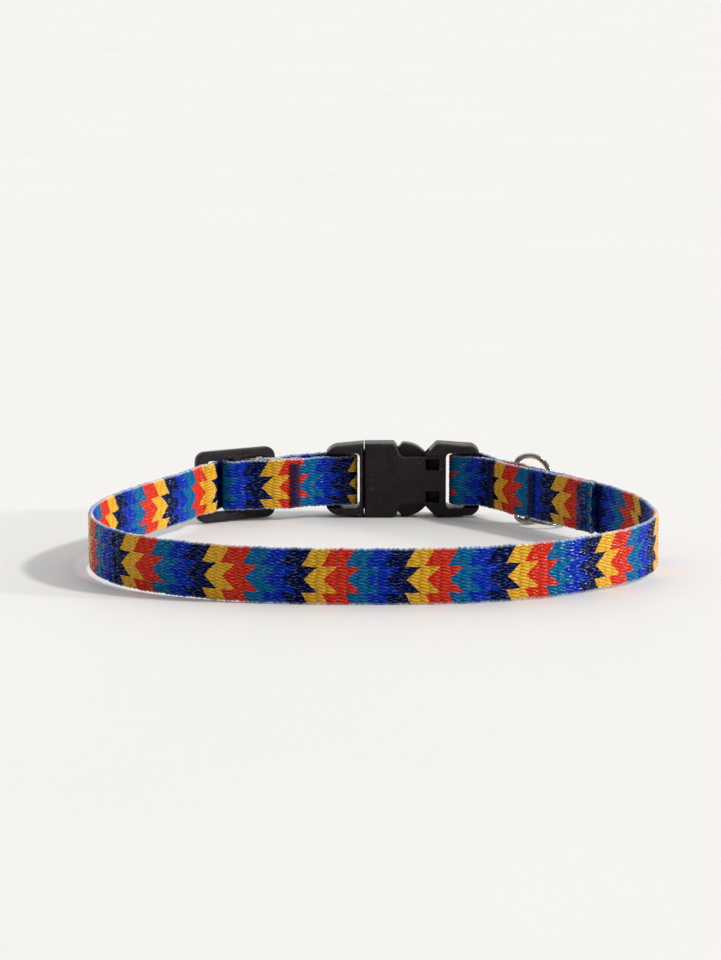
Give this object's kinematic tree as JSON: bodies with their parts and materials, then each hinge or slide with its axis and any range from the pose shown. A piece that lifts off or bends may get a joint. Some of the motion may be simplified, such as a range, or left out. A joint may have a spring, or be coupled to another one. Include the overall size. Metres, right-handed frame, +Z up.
{
  "type": "adjustable pet collar",
  "caption": "Flat woven pet collar closed in a loop, with side-release buckle, tri-glide slider, D-ring and split ring for a tag.",
  "frame": {"origin": "under the middle of the whole collar's bounding box, on the surface it stands on", "axes": "+X to the right along the buckle, from plug to socket; +Y from the front of the loop to the buckle at the back; +Z up, across the webbing's width"},
  "size_m": [0.1074, 0.0918, 0.0154],
  "materials": {
    "webbing": "woven polyester with a printed zigzag in yellow, red, teal, blue and navy",
    "thread": "shiny blue sewing thread",
    "plastic": "semi-gloss black moulded plastic",
    "steel": "bright nickel-plated wire"
  },
  "bodies": {
    "socket_side": {"socket_body": "plastic", "strap_right": "webbing", "strap_front": "webbing", "strap_socket_fold": "webbing", "strap_tail": "webbing", "tack_buckle_neck_side": "thread", "tack_buckle_outer_side": "thread", "tack_ring_neck_side": "thread", "tack_ring_outer_side": "thread", "tack_end_neck_side": "thread", "tack_end_outer_side": "thread"},
    "plug_side": {"plug_frame": "plastic", "strap_left": "webbing", "strap_slider_pass": "webbing", "strap_return": "webbing", "strap_plug_fold": "webbing", "strap_adjuster_leg": "webbing"},
    "upper_arm": {"upper_arm": "plastic"},
    "lower_arm": {"lower_arm": "plastic"},
    "slider": {"slider": "plastic", "strap_sewn_end": "webbing", "tack_slider_neck_side": "thread", "tack_slider_outer_side": "thread"},
    "d_ring": {"d_ring": "steel"},
    "split_ring": {"split_ring": "steel"}
  },
  "joints": [
    {"name": "collar_open", "type": "hinge", "parent": "socket_side", "child": "plug_side", "pos_m": [0.00419, -0.04538, 0.00515], "axis": [0, 0, 1], "range_deg": [0, 70], "deforming": ["strap_front", "upper_arm", "lower_arm"]},
    {"name": "upper_arm_squeeze", "type": "hinge", "parent": "plug_side", "child": "upper_arm", "pos_m": [-0.00016, 0.04312, 0.01245], "axis": [0, 1, 0], "range_deg": [0, 7], "stiffness_Nm_per_rad": 0.05},
    {"name": "lower_arm_squeeze", "type": "hinge", "parent": "plug_side", "child": "lower_arm", "pos_m": [-0.00016, 0.04312, 0.00295], "axis": [0, -1, 0], "range_deg": [0, 7], "stiffness_Nm_per_rad": 0.05},
    {"name": "slider_slide", "type": "slide", "parent": "plug_side", "child": "slider", "axis": [0.866, 0.5, 0], "range_m": [-0.005, 0.003], "deforming": ["strap_adjuster_leg", "strap_return", "strap_slider_pass"]},
    {"name": "d_ring_swing", "type": "hinge", "parent": "socket_side", "child": "d_ring", "pos_m": [0.02934, 0.03292, 0.00736], "axis": [0, 0, 1], "range_deg": [-12, 75]},
    {"name": "split_ring_swing", "type": "hinge", "parent": "d_ring", "child": "split_ring", "pos_m": [0.03123, 0.03302, 0.00058], "axis": [0.9986, 0.0523, 0], "range_deg": [0, 30]}
  ]
}
